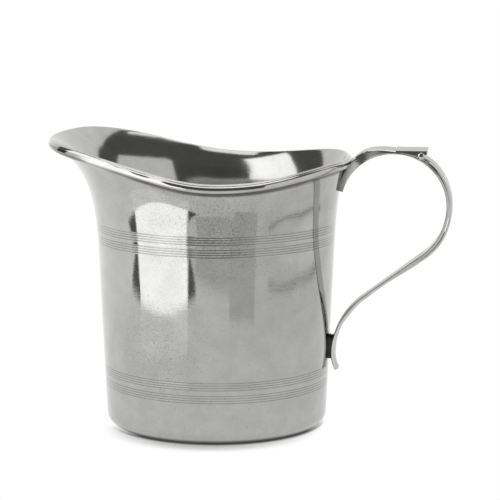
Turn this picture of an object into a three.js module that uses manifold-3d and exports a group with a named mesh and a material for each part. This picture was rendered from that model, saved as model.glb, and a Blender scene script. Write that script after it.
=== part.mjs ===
// A small pewter whisky pitcher: a tapered, turned body with a drawn spout, a stiffened rim
// and a scrolled strap handle. Millimetres, +Z up, origin at the middle of the foot,
// spout towards -X and handle towards +X.
import * as THREE from 'three';
import { mergeVertices } from 'three/addons/utils/BufferGeometryUtils.js';
import Module from 'manifold-3d';

// Body wall
const FOOT_RADIUS = 41.9;           // outside of the taper, carried down to the table
const TAPER = 0.0458;               // outside radius gained per millimetre of height
const WALL = 1.7;
const FOOT_ROUND = 4.5;             // outside corner between wall and foot
const FOOT_LAND = 2.2;              // flat ring that stands on the table

// Flared lip and drawn spout
const FLARE_START = 69.6;           // height where the wall begins to flare
const DRAW_START = 80;              // height above which the lip is drawn up or down
const RIM_LOW = 97.5;               // lip height at the sides, its lowest
const SPOUT_RISE = 11.2;            // spout lip above the sides
const HANDLE_RISE = 5.0;            // lip at the handle above the sides
const RIM_LOW_AT = 97;              // angles from the spout, in degrees
const SPOUT_LEVEL_TO = 22;
const HANDLE_LEVEL_FROM = 162;
const MOUTH_RADIUS = 51.3;          // outside of the wall at the lip, away from the spout
const SPOUT_REACH = 12.0;           // how far the spout stands out past the mouth
const SPOUT_STARTS_AT = 72;
const SPOUT_FULL_AT = 26;
const FLARE_BEND = 0.41;            // share of the flare that comes in early, as a gentle bend

// Engraved lines: two bands, each of two groups
const LINE_PITCH = 0.9;
const LINE_WIDTH = 0.5;
const LINE_DEPTH = 0.22;
const LINES_IN_GROUP = 4;
const UPPER_BAND_TOPS = [78.4, 73.8];
const LOWER_BAND_TOPS = [23.7, 18.8];

// Solder film between the pieces
const JOINT = 0.3;

// Rim band
const BAND_HEIGHT = 3.2;
const BAND_THICKNESS = 1.3;         // at the crown of its half-round face
const BAND_EDGE = 0.3;              // thickness at its upper and lower edges
const BAND_SETBACK = 0.3;           // below the edge of the lip

// Bottom plate
const PLATE = 1.6;

// Handle: a round crown, a wider back, a straight, a sweep that meets the wall and a short tail,
// all measured on the face towards the fingers
const CROWN_RADIUS = 19.9;
const BACK_RADIUS = 23.2;           // from the back of the scroll down to the straight
const CROWN_ABOVE_RIM = 2.45;       // top of the finger gap above the lip
const TONGUE_LENGTH = 12.3;         // tongue on the wall, down from the lip
const TONGUE_EDGE = 1.05;           // its thickness at the lower end
const SWEEP_RADIUS = 27.8;
const SWEEP_HEIGHT = 27.6;          // where the sweep comes nearest to the wall
const TAIL_RADIUS = 13;
const TAIL_ANGLE = 32;              // how far the tail turns out, in degrees
const STRAP_EDGE = 0.35;            // small chamfer along the strap
const REED_DEPTH = 0.3;
const REED_WIDTH = 1.1;
const REED_ENDS_AT = 0.7;
const TONGUE_WIDTH = 10;
const TONGUE_BITE = 0.9;            // how far the tongue is sunk before it is filed to the wall
const SHOULDER_WIDTH = 11.5;        // where the strap passes the rim band
const SHOULDER_DEPTH = 3.6;
const SHOULDER_ROOM = 3;            // least room between the band and the face towards the fingers
const CROWN_WIDTH = 13;             // top of the crown, and the spur on it
const CROWN_DEPTH = 1.2;
const NAPE_WIDTH = 12;              // under the spur
const NAPE_DEPTH = 2.0;
const BACK_WIDTH = 10.5;            // back of the scroll
const BACK_DEPTH = 2.2;
const SHANK_WIDTH = 8.5;            // end of the straight, where the strap is thinnest
const SHANK_DEPTH = 1.0;
const SWEEP_WIDTH = 7.2;            // beside the strut
const SWEEP_DEPTH = 1.5;
const TIP_WIDTH = 6.5;              // end of the tail
const TIP_DEPTH = 1.2;

// Thumb spur: a wedge that carries the top of the crown straight on
const SPUR_LENGTH = 12.5;           // past the top of the crown
const SPUR_THICKNESS = 1.4;
const SPUR_FEATHER = 0.3;           // thickness where the wedge begins
const ROLL_DIAMETER = 1.2;          // small roll in the corner under the spur
const ROLL_LENGTH = 9;

// Strut between handle and wall
const STRUT_WIDTH = 6;
const STRUT_LOW = 25.8;
const STRUT_HIGH = 34;
const STRUT_THICKNESS = 0.45;

// How finely the curves are faceted
const AROUND = 64;                  // sides of the body
const FINE_AROUND = 256;            // sides of a round face that another piece is filed to
const ROLL_SIDES = 12;
const FOOT_STEPS = 4;               // facets of the rounded foot
const FLARE_ROWS = 9;
const FLARE_CROWDING = 1.3;         // draws those rows together towards the lip
const LIP_STEPS = 12;               // steps of a walk down the wall from the lip
const ARC_STEP = 6;                 // degrees of the crown between sections of the strap
const PATH_DIVISIONS = 2000;
const SEAT_STEP = 0.0025;           // share of the strap between points of the spur's seat
const KEEP_OUT_ROWS = 5;
const KEEP_OUT_REACH = 1.6;         // tongue lengths from the lip to the end of its clearance

const rad = THREE.MathUtils.degToRad;

const pewter = (shade, roughness) =>
  new THREE.MeshStandardMaterial({ color: shade, roughness, metalness: 1 });

const wasm = await Module();
wasm.setup();

function toSolid(geometry) {
  const plain = geometry.clone();
  plain.deleteAttribute('normal');
  plain.deleteAttribute('uv');
  const merged = mergeVertices(plain, 1e-4);
  return new wasm.Manifold(new wasm.Mesh({
    numProp: 3,
    vertProperties: new Float32Array(merged.attributes.position.array),
    triVerts: new Uint32Array(merged.index.array),
  }));
}

function toGeometry(solid) {
  const mesh = solid.getMesh();
  const geometry = new THREE.BufferGeometry();
  geometry.setAttribute('position', new THREE.BufferAttribute(new Float32Array(mesh.vertProperties), 3));
  geometry.setIndex(new THREE.BufferAttribute(new Uint32Array(mesh.triVerts), 1));
  geometry.computeVertexNormals();
  return geometry;
}

// Skin over a row of sections with the same number of points: a ring if closed, else capped.
function loft(sections, closed) {
  const count = sections[0].length;
  const points = sections.flat();
  const faces = [];
  const spans = closed ? sections.length : sections.length - 1;
  for (let i = 0; i < spans; i += 1) {
    const here = i * count;
    const next = ((i + 1) % sections.length) * count;
    for (let j = 0; j < count; j += 1) {
      const k = (j + 1) % count;
      faces.push(here + j, here + k, next + k, here + j, next + k, next + j);
    }
  }
  if (!closed) {
    const last = (sections.length - 1) * count;
    const middle = (ring) => ring.reduce((sum, p) => sum.add(p), new THREE.Vector3()).divideScalar(count);
    points.push(middle(sections[0]), middle(sections.at(-1)));
    for (let j = 0; j < count; j += 1) {
      const k = (j + 1) % count;
      faces.push(points.length - 2, k, j, points.length - 1, last + j, last + k);
    }
  }
  const geometry = new THREE.BufferGeometry().setFromPoints(points);
  geometry.setIndex(faces);
  geometry.computeVertexNormals();
  return geometry;
}

// Smooth rise from 0 at angle a to 1 at angle b, level outside them.
function ease(angle, a, b) {
  const share = THREE.MathUtils.clamp((angle - a) / (b - a), 0, 1);
  return 0.5 - 0.5 * Math.cos(Math.PI * share);
}

const taperRadius = (z) => FOOT_RADIUS + TAPER * z;

function rimHeight(angle) {
  const spout = SPOUT_RISE * ease(angle, RIM_LOW_AT, SPOUT_LEVEL_TO);
  const handle = HANDLE_RISE * ease(angle, RIM_LOW_AT, HANDLE_LEVEL_FROM);
  return RIM_LOW + spout + handle;
}

const rimRadius = (angle) => MOUTH_RADIUS + SPOUT_REACH * ease(angle, SPOUT_STARTS_AT, SPOUT_FULL_AT);

// How far the outside of the wall stands out past its taper, and its slope.
function flare(angle, z) {
  const top = rimHeight(angle);
  const full = rimRadius(angle) - taperRadius(top);
  const rise = top - FLARE_START;
  const t = Math.max(0, (z - FLARE_START) / rise);
  const out = full * (FLARE_BEND * t ** 2 + (1 - FLARE_BEND) * t ** 5);
  const slope = (full / rise) * (2 * FLARE_BEND * t + 5 * (1 - FLARE_BEND) * t ** 4);
  return { out, slope };
}

// Point of the wall's section at an angle from the spout: depth is measured in from the outside,
// square to the flared wall.
function wallPoint(side, z, depth) {
  const angle = THREE.MathUtils.radToDeg(Math.acos(Math.cos(side)));
  const { out, slope } = flare(angle, z);
  const length = Math.hypot(1, slope);
  const radius = taperRadius(z) + out - depth / length;
  const lift = (depth * slope) / length;
  return new THREE.Vector3(-radius * Math.cos(side), -radius * Math.sin(side), z + lift);
}

// Height at a distance down the outside of the wall from the edge of the lip.
function heightBelowLip(side, distance) {
  const angle = THREE.MathUtils.radToDeg(Math.acos(Math.cos(side)));
  let z = rimHeight(angle);
  for (let i = 0; i < LIP_STEPS; i += 1) {
    z -= distance / LIP_STEPS / Math.hypot(1, flare(angle, z).slope + TAPER);
  }
  return z;
}

const sides = Array.from({ length: AROUND }, (_, i) => (2 * Math.PI * i) / AROUND);

// Rows up the wall between two heights; above DRAW_START they follow the lip up and down.
function drawnHeight(side, z) {
  const angle = THREE.MathUtils.radToDeg(Math.acos(Math.cos(side)));
  const share = (z - DRAW_START) / (RIM_LOW - DRAW_START);
  return share <= 0 ? z : DRAW_START + share * (rimHeight(angle) - DRAW_START);
}

// Outside of the wall from foot to lip as [height, depth] pairs, with the engraved lines cut in.
function outsideRows() {
  const rows = [];
  const tops = [...LOWER_BAND_TOPS, ...UPPER_BAND_TOPS].sort((a, b) => a - b);
  for (const top of tops) {
    for (let i = LINES_IN_GROUP - 1; i >= 0; i -= 1) {
      const middle = top - i * LINE_PITCH;
      rows.push([middle - LINE_WIDTH / 2, 0], [middle, LINE_DEPTH], [middle + LINE_WIDTH / 2, 0]);
    }
  }
  for (let i = 0; i <= FLARE_ROWS; i += 1) {
    const share = 1 - (1 - i / FLARE_ROWS) ** FLARE_CROWDING;
    rows.push([DRAW_START + share * (RIM_LOW - DRAW_START), 0]);
  }
  return rows;
}

function bodyWall() {
  const outside = outsideRows();
  const inside = outside.filter(([z]) => z >= DRAW_START).reverse();
  const bend = FOOT_ROUND - WALL;
  const landRadius = FOOT_RADIUS - FOOT_ROUND;
  const corner = Array.from({ length: FOOT_STEPS + 1 }, (_, i) => (Math.PI / 2) * (1 - i / FOOT_STEPS));
  const sections = sides.map((side) => {
    const at = (radius, z) => new THREE.Vector3(-radius * Math.cos(side), -radius * Math.sin(side), z);
    const around = (radius, a) => at(
      landRadius + TAPER * FOOT_ROUND + radius * Math.cos(a),
      FOOT_ROUND - radius * Math.sin(a),
    );
    return [
      at(landRadius - FOOT_LAND, WALL),
      at(landRadius - FOOT_LAND, 0),
      ...corner.map((a) => around(FOOT_ROUND, a)),
      ...outside.map(([z, depth]) => wallPoint(side, drawnHeight(side, z), depth)),
      ...inside.map(([z]) => wallPoint(side, drawnHeight(side, z), WALL)),
      wallPoint(side, FLARE_START, WALL),
      ...corner.map((a) => around(bend, Math.PI / 2 - a)),
    ].reverse();
  });
  return loft(sections, true);
}

function baseDisc() {
  const radius = FOOT_RADIUS - FOOT_ROUND - FOOT_LAND - JOINT;
  const disc = new THREE.CylinderGeometry(radius, radius, PLATE, AROUND);
  return disc.rotateX(Math.PI / 2).translate(0, 0, PLATE / 2);
}

// Half-round section along the lip: pairs of distance below the lip and height off the wall.
const BAND_SHARES = [0, 0.08, 0.28, 0.5, 0.72, 0.92, 1];

function bandProfile() {
  const round = (share) => Math.sqrt(1 - (2 * share - 1) ** 2);
  const crown = (share) => BAND_EDGE + (BAND_THICKNESS - BAND_EDGE) * round(share);
  const down = (share) => BAND_SETBACK + share * BAND_HEIGHT;
  return [
    ...BAND_SHARES.map((share) => [down(share), JOINT + crown(share)]),
    ...BAND_SHARES.map((share) => [down(share), JOINT]).reverse(),
  ];
}

function rimBand() {
  const profile = bandProfile();
  const sections = sides.map((side) =>
    profile.map(([down, off]) => wallPoint(side, heightBelowLip(side, down), -off)));
  return loft(sections, true);
}

// Everything a piece on the outside of the lip has to clear: wall and band, with a solder film.
function lipKeepOut() {
  const depth = WALL + SHOULDER_DEPTH;
  const lowest = KEEP_OUT_REACH * TONGUE_LENGTH;
  const bandEnd = BAND_SETBACK + BAND_HEIGHT + JOINT;
  const downs = Array.from({ length: KEEP_OUT_ROWS }, (_, i) =>
    THREE.MathUtils.lerp(lowest, bandEnd, i / (KEEP_OUT_ROWS - 1)));
  const film = bandProfile().slice(0, BAND_SHARES.length).reverse();
  const sections = sides.map((side) => [
    ...downs.map((down) => wallPoint(side, heightBelowLip(side, down), -JOINT)),
    ...film.map(([down, off]) => wallPoint(side, heightBelowLip(side, down), -off - JOINT)),
    wallPoint(side, heightBelowLip(side, 0), -JOINT),
    ...[...downs, 0].reverse().map((down) => wallPoint(side, heightBelowLip(side, down), depth)),
  ].reverse());
  return loft(sections, true);
}

// Centre of the crown: its inner face stands off the wall by the tongue's lower edge, and off the
// rim band by the shoulder's room at least.
function crownCentre() {
  const lip = rimHeight(180);
  const z = lip + CROWN_ABOVE_RIM - CROWN_RADIUS;
  const tongueEnd = lip - TONGUE_LENGTH;
  const wall = taperRadius(tongueEnd) + flare(180, tongueEnd).out;
  const band = rimRadius(180) + JOINT + BAND_THICKNESS + JOINT;
  const overTongue = Math.sqrt(CROWN_RADIUS ** 2 - (tongueEnd - z) ** 2);
  const overLip = Math.sqrt(CROWN_RADIUS ** 2 - (lip - z) ** 2);
  const x = Math.max(wall + JOINT + TONGUE_EDGE + overTongue, band + SHOULDER_ROOM + overLip);
  const tongueAngle = Math.PI - Math.asin((tongueEnd - z) / CROWN_RADIUS);
  return { x, z, tongueAngle, tongueRoom: x - overTongue - wall };
}

// Width and depth of the strap at shares of its length, from the tongue to the tip of the tail.
const STATIONS = [
  { at: 0, width: TONGUE_WIDTH, depth: crownCentre().tongueRoom + TONGUE_BITE },
  { at: 0.1, width: SHOULDER_WIDTH, depth: SHOULDER_DEPTH },
  { at: 0.2, width: CROWN_WIDTH, depth: CROWN_DEPTH },
  { at: 0.3, width: NAPE_WIDTH, depth: NAPE_DEPTH },
  { at: 0.44, width: BACK_WIDTH, depth: BACK_DEPTH },
  { at: 0.73, width: SHANK_WIDTH, depth: SHANK_DEPTH },
  { at: 0.9, width: SWEEP_WIDTH, depth: SWEEP_DEPTH },
  { at: 1, width: TIP_WIDTH, depth: TIP_DEPTH },
];

// Centre of the sweep, which stands off the wall by the strut.
const sweepCentre = () => ({
  x: taperRadius(SWEEP_HEIGHT) + JOINT + STRUT_THICKNESS + JOINT + SWEEP_RADIUS,
  z: SWEEP_HEIGHT,
});

// Inner face of the strap in the XZ plane: crown arc, back arc, straight, sweep and tail.
function strapPath() {
  const crown = crownCentre();
  const sweep = sweepCentre();
  const backX = crown.x + CROWN_RADIUS - BACK_RADIUS;
  const apart = Math.hypot(sweep.x - backX, sweep.z - crown.z);
  const line = Math.atan2(sweep.z - crown.z, sweep.x - backX);
  const leave = line - Math.asin((BACK_RADIUS + SWEEP_RADIUS) / apart) + Math.PI / 2;
  const path = new THREE.Path();
  path.absarc(crown.x, crown.z, CROWN_RADIUS, crown.tongueAngle, 0, true);
  path.absarc(backX, crown.z, BACK_RADIUS, 0, leave, true);
  path.absarc(sweep.x, sweep.z, SWEEP_RADIUS, leave + Math.PI, Math.PI, false);
  const tailX = sweep.x - SWEEP_RADIUS + TAIL_RADIUS;
  path.absarc(tailX, sweep.z, TAIL_RADIUS, Math.PI, Math.PI + rad(TAIL_ANGLE), false);
  path.arcLengthDivisions = PATH_DIVISIONS;
  return path;
}

// Width or depth of the strap at a share of its length.
function atStation(what, share) {
  const i = Math.max(1, STATIONS.findIndex((station) => station.at >= share));
  const before = STATIONS[i - 1];
  const after = STATIONS[i];
  return THREE.MathUtils.lerp(before[what], after[what], ease(share, before.at, after.at));
}

// Point beside the strap: out from its inner face, across its width.
function strapPoint(path, share, out, across) {
  const here = path.getPointAt(share);
  const ahead = path.getTangentAt(share);
  return new THREE.Vector3(here.x - ahead.y * out, across, here.y + ahead.x * out);
}

// Strap section as [across, out] points: the outer face has a middle rib and two edge beads.
function strapSection(width, depth, reed) {
  const half = width / 2;
  const groove = half - 1.5 * REED_WIDTH;
  const outer = [
    [half, depth - STRAP_EDGE],
    [half - STRAP_EDGE, depth],
    [groove + REED_WIDTH / 2, depth],
    [groove, depth - reed],
    [groove - REED_WIDTH / 2, depth],
  ];
  const mirrored = outer.map(([across, out]) => [-across, out]).reverse();
  const inner = [[-half, STRAP_EDGE], [STRAP_EDGE - half, 0], [half - STRAP_EDGE, 0], [half, STRAP_EDGE]];
  return [...outer, ...mirrored, ...inner];
}

function handleStrap() {
  const path = strapPath();
  const steps = Math.round(path.getLength() / (CROWN_RADIUS * rad(ARC_STEP)));
  const sections = [];
  for (let i = 0; i <= steps; i += 1) {
    const share = i / steps;
    const reed = REED_DEPTH * ease(share, REED_ENDS_AT, REED_ENDS_AT / 2);
    const section = strapSection(atStation('width', share), atStation('depth', share), reed);
    sections.push(section.map(([across, out]) => strapPoint(path, share, out, across)));
  }
  return toGeometry(toSolid(loft(sections, false)).subtract(toSolid(lipKeepOut())));
}

// The spur sits on the strap behind the top of the crown, level with it; its roll fills the corner.
function thumbSpur() {
  const path = strapPath();
  const crown = crownCentre();
  const crownTop = (CROWN_RADIUS * (crown.tongueAngle - Math.PI / 2)) / path.getLength();
  const top = crown.z + CROWN_RADIUS + atStation('depth', crownTop);
  const end = crown.x + SPUR_LENGTH;
  const seat = [];
  let rollShare = crownTop;
  let drop = 0;
  while (drop < SPUR_THICKNESS + ROLL_DIAMETER / 2) {
    rollShare += SEAT_STEP;
    const point = strapPoint(path, rollShare, atStation('depth', rollShare) + JOINT, 0);
    drop = top - point.z;
    if (drop > SPUR_FEATHER && drop < SPUR_THICKNESS) {
      seat.push(new THREE.Vector2(point.x, point.z));
    }
  }
  const outline = new THREE.Shape([
    new THREE.Vector2(seat[0].x, top),
    ...seat,
    new THREE.Vector2(end, top - SPUR_THICKNESS),
    new THREE.Vector2(end, top),
  ]);
  const wedge = new THREE.ExtrudeGeometry(outline, { depth: CROWN_WIDTH, bevelEnabled: false });
  wedge.rotateX(Math.PI / 2).translate(0, CROWN_WIDTH / 2, 0);
  const lift = atStation('depth', rollShare) + JOINT + ROLL_DIAMETER / 2;
  const middle = strapPoint(path, rollShare, lift, 0);
  const roll = new THREE.CylinderGeometry(ROLL_DIAMETER / 2, ROLL_DIAMETER / 2, ROLL_LENGTH, ROLL_SIDES);
  roll.translate(middle.x, middle.y, middle.z);
  return toGeometry(toSolid(wedge).add(toSolid(roll)));
}

// A block filed to the strap on one side and to the wall on the other.
function lowerStrut() {
  const sweep = sweepCentre();
  const tall = STRUT_HIGH - STRUT_LOW;
  const middle = (STRUT_HIGH + STRUT_LOW) / 2;
  const outer = sweep.x - SWEEP_RADIUS + STRUT_THICKNESS;
  const inner = taperRadius(STRUT_LOW) - WALL;
  const block = new THREE.BoxGeometry(outer - inner, STRUT_WIDTH, tall);
  block.translate((outer + inner) / 2, 0, middle);
  const strapFace = SWEEP_RADIUS + JOINT;
  const strap = new THREE.CylinderGeometry(strapFace, strapFace, 2 * STRUT_WIDTH, FINE_AROUND);
  strap.translate(sweep.x, 0, sweep.z);
  const low = taperRadius(STRUT_LOW - WALL) + JOINT;
  const high = taperRadius(STRUT_HIGH + WALL) + JOINT;
  const wall = new THREE.CylinderGeometry(high, low, tall + 2 * WALL, FINE_AROUND);
  wall.rotateX(Math.PI / 2).translate(0, 0, middle);
  return toGeometry(toSolid(block).subtract(toSolid(strap)).subtract(toSolid(wall)));
}

const pitcher = new THREE.Group();

function add(name, geometry, material) {
  const mesh = new THREE.Mesh(geometry, material);
  mesh.name = name;
  pitcher.add(mesh);
}

add('body_wall', bodyWall(), pewter(0xb4b3af, 0.28));
add('base_disc', baseDisc(), pewter(0xaaa9a5, 0.35));
add('rim_band', rimBand(), pewter(0xbcbbb7, 0.22));
add('handle_strap', handleStrap(), pewter(0xb2b1ad, 0.25));
add('thumb_spur', thumbSpur(), pewter(0xb8b7b3, 0.25));
add('lower_strut', lowerStrut(), pewter(0xa6a5a1, 0.35));

export default pitcher;
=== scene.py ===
# %% [markdown]
# # A pewter whisky pitcher
#
# A small jug for water or whisky, soldered up from six pieces of pewter: a turned wall, a bottom
# plate, a band round the lip, a strap handle, a thumb rest on it and a small foot under it.
# Every piece is modelled here as a maker would shape it, and takes the place of a plain solid of
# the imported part. Lengths are written in millimetres and multiplied by MM, because Blender and
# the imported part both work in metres, with +Z up, the spout towards -X and the handle towards +X.

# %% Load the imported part
import math

import bmesh
import bpy
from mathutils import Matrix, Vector


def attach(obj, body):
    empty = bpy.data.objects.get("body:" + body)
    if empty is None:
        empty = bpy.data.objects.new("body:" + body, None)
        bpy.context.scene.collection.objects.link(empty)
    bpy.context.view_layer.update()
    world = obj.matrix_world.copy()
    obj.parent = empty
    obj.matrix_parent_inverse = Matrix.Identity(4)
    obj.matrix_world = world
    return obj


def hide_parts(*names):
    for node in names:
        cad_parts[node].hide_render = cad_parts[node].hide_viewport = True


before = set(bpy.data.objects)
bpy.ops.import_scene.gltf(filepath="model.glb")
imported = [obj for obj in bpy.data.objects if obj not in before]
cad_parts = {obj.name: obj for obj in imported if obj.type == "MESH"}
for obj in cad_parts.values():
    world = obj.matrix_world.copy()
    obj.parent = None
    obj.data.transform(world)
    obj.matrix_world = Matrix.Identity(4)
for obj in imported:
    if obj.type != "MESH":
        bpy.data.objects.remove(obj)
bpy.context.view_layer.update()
MM = 0.001
print("solids to dress:", ", ".join(sorted(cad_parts)))

# %% [markdown]
# ## Small helpers
#
# An operator acts on whatever is selected, and the loaded solids start out selected. So each
# piece begins with nothing selected, and parts of a mesh are then picked by their place, the way
# a box selection picks them by hand. One helper moves vertices by a rule, which is what
# proportional editing does by eye, and one stores a number per vertex for the materials.

# %% Helpers for selecting and moving
def start_mesh(name, add_primitive, **settings):
    """Add a primitive with nothing else selected, name it and go into edit mode."""
    bpy.ops.object.select_all(action="DESELECT")
    add_primitive(**settings)
    piece = bpy.context.object
    piece.name = name
    piece.data.name = name
    bpy.ops.object.mode_set(mode="EDIT")
    bpy.ops.mesh.select_all(action="SELECT")
    return piece


def pick(piece, wanted):
    """Select the vertices, in edit mode, whose place passes the test."""
    mesh = bmesh.from_edit_mesh(piece.data)
    for vert in mesh.verts:
        vert.select = wanted(vert.co)
    mesh.select_flush_mode()
    bmesh.update_edit_mesh(piece.data)


def reshape(piece, place):
    """Put every vertex, in edit mode, where the rule says."""
    mesh = bmesh.from_edit_mesh(piece.data)
    for vert in mesh.verts:
        vert.co = place(vert.co.copy())
    bmesh.update_edit_mesh(piece.data)


# %% Helpers for finishing a piece
def finish_with(piece, kind, **settings):
    """Add a modifier and apply it at once."""
    modifier = piece.modifiers.new(kind.title(), kind)
    for name, value in settings.items():
        setattr(modifier, name, value)
    bpy.ops.object.modifier_apply(modifier=modifier.name)


def mark(piece, name, amounts):
    """Store one number per vertex for the piece's material."""
    piece.data.attributes.new(name, "FLOAT", "POINT").data.foreach_set("value", amounts)


def fit(piece, node, sharp):
    """Smooth the piece, tie it to the part and put it in the place of a solid."""
    bpy.ops.object.shade_smooth_by_angle(angle=math.radians(sharp))
    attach(piece, "root")
    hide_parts(node)
    print(piece.name, "stands for", node, "with", len(piece.data.polygons), "faces")


# %% [markdown]
# ## The rule of the wall
#
# The wall is turned on a lathe: it rises from a rounded foot with a slight taper, and flares
# towards the mouth. Then the lip is drawn by hand, up at the spout and a little at the handle,
# and the spout is pulled forward. That draws the two sides in: the mouth is a little narrower
# there, and its flare starts later. These functions hold that shape, so that the wall, the band
# round the lip and the handle's tongue all follow the same surface. Angles are counted in
# degrees from the spout, so the handle is at 180.

# %% Shape of the wall: sizes
FOOT_RADIUS = 41.9 * MM
TAPER = 0.0458
FLARE_START = 69.6 * MM
FLARE_BEND, FLARE_POWER = 0.41, 5
DRAW_START = 80 * MM
RIM_LOW, SPOUT_RISE, HANDLE_RISE = 97.5 * MM, 11.2 * MM, 5.0 * MM
RIM_LOW_AT, SPOUT_LEVEL_TO, HANDLE_LEVEL_FROM = 97, 22, 162
MOUTH_RADIUS, SPOUT_REACH = 51.3 * MM, 12.0 * MM
SPOUT_STARTS_AT, SPOUT_FULL_AT = 72, 26
SIDE_TUCK, SIDE_POWER = 0.7 * MM, 1
SIDE_STARTS_AT, SIDE_FULL_FROM, SIDE_FULL_TO, SIDE_ENDS_AT = 58, 80, 92, 122
HANDLE_SIDE = 180


def ease(value, start, end):
    """Smooth rise from 0 at start to 1 at end, level outside them."""
    share = min(1, max(0, (value - start) / (end - start)))
    return 0.5 - 0.5 * math.cos(math.pi * share)


def taper_radius(z):
    return FOOT_RADIUS + TAPER * z


def at_sides(angle):
    """1 at the two sides of the mouth, 0 towards the spout and the handle."""
    return ease(angle, SIDE_STARTS_AT, SIDE_FULL_FROM) * ease(angle, SIDE_ENDS_AT, SIDE_FULL_TO)


def rim_height(angle):
    spout = SPOUT_RISE * ease(angle, RIM_LOW_AT, SPOUT_LEVEL_TO)
    return RIM_LOW + spout + HANDLE_RISE * ease(angle, RIM_LOW_AT, HANDLE_LEVEL_FROM)


def rim_radius(angle):
    spout = SPOUT_REACH * ease(angle, SPOUT_STARTS_AT, SPOUT_FULL_AT)
    return MOUTH_RADIUS + spout - SIDE_TUCK * at_sides(angle)


print(f"lip: {rim_height(0) / MM:.1f} mm at the spout, {rim_height(HANDLE_SIDE) / MM:.1f} mm at the handle")


# %% Shape of the wall: its surface
def flare(angle, z):
    """How far the wall stands out past its taper, and its slope there."""
    top = rim_height(angle)
    full = rim_radius(angle) - taper_radius(top)
    rise = top - FLARE_START
    t = max(0, (z - FLARE_START) / rise)
    bend = FLARE_BEND * (1 - at_sides(angle))
    power = FLARE_POWER + SIDE_POWER * at_sides(angle)
    out = full * (bend * t**2 + (1 - bend) * t**power)
    slope = full / rise * (2 * bend * t + power * (1 - bend) * t ** (power - 1))
    return out, slope


def wall_radius(angle, z):
    return taper_radius(z) + flare(angle, z)[0]


def from_spout(side):
    """Angle from the spout in degrees, the same on both sides."""
    return math.degrees(math.acos(math.cos(side)))


def side_of(place):
    return math.atan2(-place.y, -place.x)


def wall_point(side, z, off):
    """Point that stands off the outside of the wall, square to it."""
    out, slope = flare(from_spout(side), z)
    length = math.hypot(1, slope)
    radius = taper_radius(z) + out + off / length
    return Vector((-radius * math.cos(side), -radius * math.sin(side), z - off * slope / length))


def drawn_height(side, z):
    """Height that a point of the turned wall has after the lip is drawn."""
    share = (z - DRAW_START) / (RIM_LOW - DRAW_START)
    return z if share <= 0 else DRAW_START + share * (rim_height(from_spout(side)) - DRAW_START)


print(f"wall: {wall_radius(HANDLE_SIDE, DRAW_START) / MM:.1f} mm from the axis where the lip starts")

# %% [markdown]
# ## The body
#
# The real wall is spun or cast pewter, turned true, with four groups of fine engraved lines. It
# could be a cylinder with loops cut into it. A lathe does it more directly: one vertex is
# extruded along the outline, and the outline is spun about the axis. Rows are placed where they
# are needed: close together in the rounded foot and the flare, and three to each engraved line.
# Two more rows guard each group of lines, so that the grooves don't bend the reflections that
# lie between the groups.

# %% Body: outline of the turned wall
FOOT_ROUND, FOOT_LAND, FOOT_STEPS = 4.5 * MM, 2.2 * MM, 8
LINE_PITCH, LINE_WIDTH, LINES_IN_GROUP = 0.9 * MM, 0.5 * MM, 4
GROUP_TOPS = [18.8 * MM, 23.7 * MM, 73.8 * MM, 78.4 * MM]
LIP_ROWS = 30


def foot_outline():
    land = FOOT_RADIUS - FOOT_ROUND
    middle = land + TAPER * FOOT_ROUND
    turns = [math.pi / 2 * step / FOOT_STEPS for step in range(FOOT_STEPS + 1)]
    bend = [(middle + FOOT_ROUND * math.sin(a), FOOT_ROUND * (1 - math.cos(a))) for a in turns]
    return [(land - FOOT_LAND, 0)] + bend


line_middles = [top - i * LINE_PITCH for top in GROUP_TOPS for i in reversed(range(LINES_IN_GROUP))]
line_rows = [z + LINE_WIDTH / 2 * step for z in line_middles for step in (-1, 0, 1)]
for top in GROUP_TOPS:
    lowest = top - (LINES_IN_GROUP - 1) * LINE_PITCH
    line_rows += [lowest - LINE_WIDTH, top + LINE_WIDTH]
line_rows.sort()
lip_rows = [DRAW_START + (RIM_LOW - DRAW_START) * i / LIP_ROWS for i in range(LIP_ROWS + 1)]
wall_outline = [(wall_radius(RIM_LOW_AT, z), z) for z in line_rows + lip_rows]
print(len(line_middles), "engraved lines,", len(wall_outline), "rows up the wall")


# %% Body: extrude the outline and spin it
AROUND = 240
WELD = 0.002 * MM


def turn_on_lathe(name, outline, closed):
    """Extrude one vertex along an outline of (radius, height), then spin it about the axis."""
    piece = start_mesh(name, bpy.ops.mesh.primitive_plane_add, size=MM)
    bpy.ops.mesh.merge(type="CENTER")
    bpy.ops.transform.translate(value=(outline[0][0], 0, outline[0][1]))
    stops = outline + outline[:1] if closed else outline
    for (radius, z), (next_radius, next_z) in zip(stops, stops[1:]):
        step = (next_radius - radius, 0, next_z - z)
        bpy.ops.mesh.extrude_vertices_move(TRANSFORM_OT_translate={"value": step})
    bpy.ops.mesh.select_all(action="SELECT")
    bpy.ops.mesh.remove_doubles(threshold=WELD)
    bpy.ops.mesh.spin(steps=AROUND, angle=2 * math.pi, center=(0, 0, 0), axis=(0, 0, 1))
    bpy.ops.mesh.select_all(action="SELECT")
    bpy.ops.mesh.remove_doubles(threshold=WELD)
    bpy.ops.mesh.normals_make_consistent(inside=False)
    faces = bmesh.from_edit_mesh(piece.data).faces
    if sum(face.normal.dot(face.calc_center_median()) * face.calc_area() for face in faces) < 0:
        bpy.ops.mesh.flip_normals()
    return piece


pitcher_body = turn_on_lathe("pitcher_body", foot_outline() + wall_outline, closed=False)
print("turned wall:", len(bmesh.from_edit_mesh(pitcher_body.data).faces), "faces")

# %% [markdown]
# Now the lip is drawn. On the bench this is done over a stake with a mallet. Here each vertex
# above the start of the flare is carried to its place on the drawn wall. Proportional editing
# would do it by eye, but then the band round the lip could not be laid along it exactly.

# %% Body: draw the lip and the spout
def draw_lip(place):
    if place.z < FLARE_START - LINES_IN_GROUP * LINE_PITCH:
        return place
    side = side_of(place)
    return wall_point(side, drawn_height(side, place.z), 0)


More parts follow.
